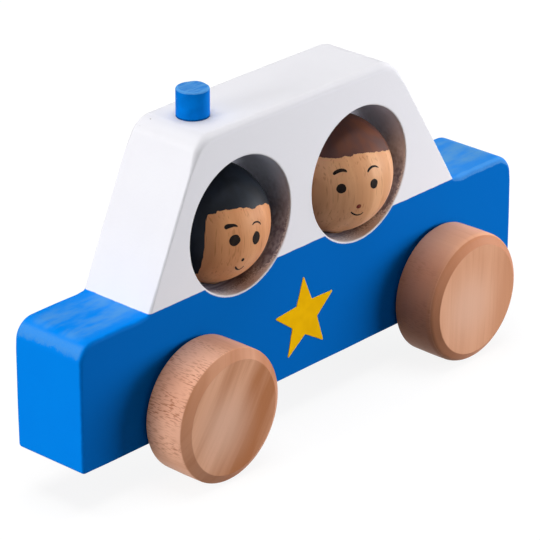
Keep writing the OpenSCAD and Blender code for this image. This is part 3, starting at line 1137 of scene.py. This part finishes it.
# Eyes and nose as place, half size, ink and seed; brows and mouth as (yaw, latitude, half width) points
DRIVER_FACE = {
    "dabs": [
        ((21.8, 3.0), (5.6, 5.5), 0, 1.0),
        ((-2.7, -1.0), (5.0, 6.3), 0, 2.0),
        ((11.2, -20.5), (1.8, 2.0), 1, 3.0),
    ],
    "strokes": [
        [(31.1, 15.4, 1.8), (28.6, 16.9, 2.1), (25.0, 17.2, 1.8), (21.1, 17.0, 1.2), (17.8, 15.3, 0.7)],
        [(1.3, 12.5, 0.6), (-1.7, 13.9, 0.8), (-5.8, 13.5, 0.8), (-9.1, 11.6, 0.8), (-10.6, 9.2, 0.6)],
        [(18.3, -27.3, 1.0), (15.6, -31.4, 1.1), (12.0, -33.7, 0.8), (8.3, -33.2, 0.6), (6.2, -30.2, 0.5)],
    ],
}
PASSENGER_FACE = {
    "dabs": [
        ((40.4, 6.5), (4.9, 4.6), 0, 4.0),
        ((5.7, 5.7), (4.8, 4.7), 0, 5.0),
        ((22.2, -14.4), (2.6, 2.5), 1, 6.0),
    ],
    "strokes": [
        [(48.2, 20.0, 1.4), (45.7, 22.0, 1.7), (40.7, 23.8, 1.7), (36.3, 23.4, 1.3), (34.1, 21.8, 0.8)],
        [(11.8, 18.1, 0.9), (9.4, 20.5, 1.2), (5.1, 21.9, 1.1), (0.3, 21.3, 0.9), (-3.4, 18.8, 0.5)],
        [(29.9, -19.6, 0.7), (27.3, -22.6, 0.9), (22.2, -25.4, 0.9), (17.4, -25.1, 0.75), (15.4, -23, 0.5)],
    ],
}


def make_face(name, body, place, marks, inks):
    """Eyes, brows, nose and mouth, painted on a head."""
    shape = Shape()
    for mark in marks["dabs"]:
        dab(shape, *mark)
    for stroke in marks["strokes"]:
        brush_stroke(shape, stroke)
    face = shape.piece(name, *inks, place=place)
    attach(face, body)


def make_rider(body, node, place, wood_colours, hairline, hair, marks, inks, seed, tooth):
    """A ball head with its painted hair and face."""
    wood = beech(body + "_beech", *wood_colours, UPRIGHT, seed)
    make_ball(body + "_ball", body, node, place, wood)
    make_hair(body + "_hair", body, place, hair, hairline, tooth, seed)
    make_face(body + "_face", body, place, marks, inks)


def dress_dowels():
    """Bare beech on the axles and necks, which keep their solids."""
    across = beech("axle_beech", DOWEL_LIGHT, DOWEL_DARK, WHEEL_FLECK, ALONG_Y, seed=8.0)
    upright = beech("neck_beech", DOWEL_LIGHT, DOWEL_DARK, WHEEL_FLECK, UPRIGHT, seed=9.0)
    wood = {"front_axle": across, "rear_axle": across, "driver_neck": upright, "passenger_neck": upright}
    for node, material in wood.items():
        piece = frame["nodes"][node]
        piece.data.materials.clear()
        piece.data.materials.append(material)


# Stage
CAMERA_AZIMUTH = math.radians(132.61)
CAMERA_ELEVATION = math.radians(24.54)
CAMERA_TARGET = Vector((2.07, 0.0, 34.86))
CAMERA_DISTANCE = 879.8
CAMERA_LENS = 237.3
CAMERA_SENSOR = 36.0
CAMERA_CLIP = (0.05, 50.0)
FLOOR_HALF_SIZE = 6000.0
FLOOR_GREY = 0.16
FLOOR_BOUNCE = 0.28
FLOOR_LIFT = 0.88
AMBIENT = 0.02
Lamp = namedtuple("Lamp", "azimuth elevation distance size watts")
LAMPS = {
    "lamp_front": Lamp(80, 8, 1200, (420, 400), 10.8),
    "lamp_rear": Lamp(228, 6, 600, (520, 200), 3.6),
    "lamp_top": Lamp(0, 85, 900, (800, 800), 8.4),
}


def direction(azimuth, elevation):
    """Unit vector from the car towards a viewer at that azimuth and elevation, in radians."""
    level = math.cos(elevation)
    return Vector((math.sin(azimuth) * level, -math.cos(azimuth) * level, math.sin(elevation)))


def aim(name, data, toward, distance):
    """Links a camera or lamp that looks at the car from a direction and distance."""
    made = bpy.data.objects.new(name, data)
    made.location = (CAMERA_TARGET + toward * distance) * MM
    made.rotation_mode = "QUATERNION"
    made.rotation_quaternion = (-toward).to_track_quat("-Z", "Y")
    bpy.context.scene.collection.objects.link(made)
    return made


def make_camera():
    data = bpy.data.cameras.new("camera")
    data.lens = CAMERA_LENS
    data.sensor_width = CAMERA_SENSOR
    data.clip_start, data.clip_end = CAMERA_CLIP
    toward = direction(CAMERA_AZIMUTH, CAMERA_ELEVATION)
    bpy.context.scene.camera = aim("camera", data, toward, CAMERA_DISTANCE)


def make_lamps():
    for name, lamp in LAMPS.items():
        data = bpy.data.lights.new(name, "AREA")
        data.shape = "RECTANGLE"
        data.size, data.size_y = (edge * MM for edge in lamp.size)
        data.energy = lamp.watts
        toward = direction(math.radians(lamp.azimuth), math.radians(lamp.elevation))
        aim(name, data, toward, lamp.distance)


def seen_directly(tree):
    """1 for rays that show the stage itself, and 0 for those that only carry its light."""
    path = tree.nodes.new("ShaderNodeLightPath")
    total = path.outputs["Is Camera Ray"]
    for name in ("Is Glossy Ray", "Is Transmission Ray"):
        added = tree.nodes.new("ShaderNodeMath")
        added.operation = "MAXIMUM"
        tree.links.new(total, added.inputs[0])
        tree.links.new(path.outputs[name], added.inputs[1])
        total = added.outputs[0]
    return total


def set_levels(tree, seen, hidden, shown, socket):
    """Feeds a socket one value where the stage is seen directly, and another where it only gives light."""
    level = tree.nodes.new("ShaderNodeMapRange")
    tree.links.new(seen, level.inputs["Value"])
    level.inputs["To Min"].default_value = hidden
    level.inputs["To Max"].default_value = shown
    tree.links.new(level.outputs[0], socket)


def make_world():
    """White to the camera and in reflections, and a dim even light otherwise."""
    world = bpy.data.worlds.new("world")
    world.use_nodes = True
    tree = world.node_tree
    background = tree.nodes["Background"]
    background.inputs["Color"].default_value = (1, 1, 1, 1)
    set_levels(tree, seen_directly(tree), AMBIENT, 1.0, background.inputs["Strength"])
    bpy.context.scene.world = world


def floor_material():
    """Grey with a glow that only the camera and reflections see, so that the floor looks white."""
    material = bpy.data.materials.new("floor_white")
    material.use_nodes = True
    tree = material.node_tree
    tree.nodes.remove(tree.nodes["Principled BSDF"])
    matte = tree.nodes.new("ShaderNodeBsdfDiffuse")
    glow = tree.nodes.new("ShaderNodeEmission")
    seen = seen_directly(tree)
    set_levels(tree, seen, FLOOR_BOUNCE, FLOOR_GREY, matte.inputs["Color"])
    set_levels(tree, seen, 0.0, FLOOR_LIFT, glow.inputs["Strength"])
    both = tree.nodes.new("ShaderNodeAddShader")
    tree.links.new(matte.outputs[0], both.inputs[0])
    tree.links.new(glow.outputs[0], both.inputs[1])
    tree.links.new(both.outputs[0], tree.nodes["Material Output"].inputs["Surface"])
    return material


def make_floor():
    """Floor that the camera sees as white, apart from the car's shadow."""
    half = FLOOR_HALF_SIZE * MM
    corners = [(-half, -half, 0), (half, -half, 0), (half, half, 0), (-half, half, 0)]
    mesh = bpy.data.meshes.new("floor")
    mesh.from_pydata(corners, [], [(0, 1, 2, 3)])
    mesh.materials.append(floor_material())
    floor = bpy.data.objects.new("floor", mesh)
    bpy.context.scene.collection.objects.link(floor)


def build():
    make_board()
    make_beacon()
    yellow = star_paint()
    make_star(1, "star_left", yellow)
    make_star(-1, "star_right", yellow)
    for i, node in enumerate(WHEELS):
        make_wheel(node, seed=i + 1.0)
    inks = (ink("ink_dark", INK_DARK, INK_DARK_THIN), ink("ink_red", INK_RED, INK_RED_THIN))
    black = hair_paint("hair_black", HAIR_BLACK, HAIR_BLACK_THIN)
    brown = hair_paint("hair_brown", HAIR_BROWN, HAIR_BROWN_THIN)
    dark_only = (inks[0], inks[0])
    make_rider(
        "driver", "driver_head", DRIVER_PLACE, DRIVER_WOOD,
        DRIVER_HAIRLINE, black, DRIVER_FACE, dark_only, seed=5.0, tooth=1.6,
    )
    make_rider(
        "passenger", "passenger_head", PASSENGER_PLACE, PASSENGER_WOOD,
        PASSENGER_HAIRLINE, brown, PASSENGER_FACE, inks, seed=6.0, tooth=1.5,
    )
    dress_dowels()


make_camera()
make_world()
make_floor()
make_lamps()
build()
bpy.context.scene.view_settings.view_transform = "Standard"
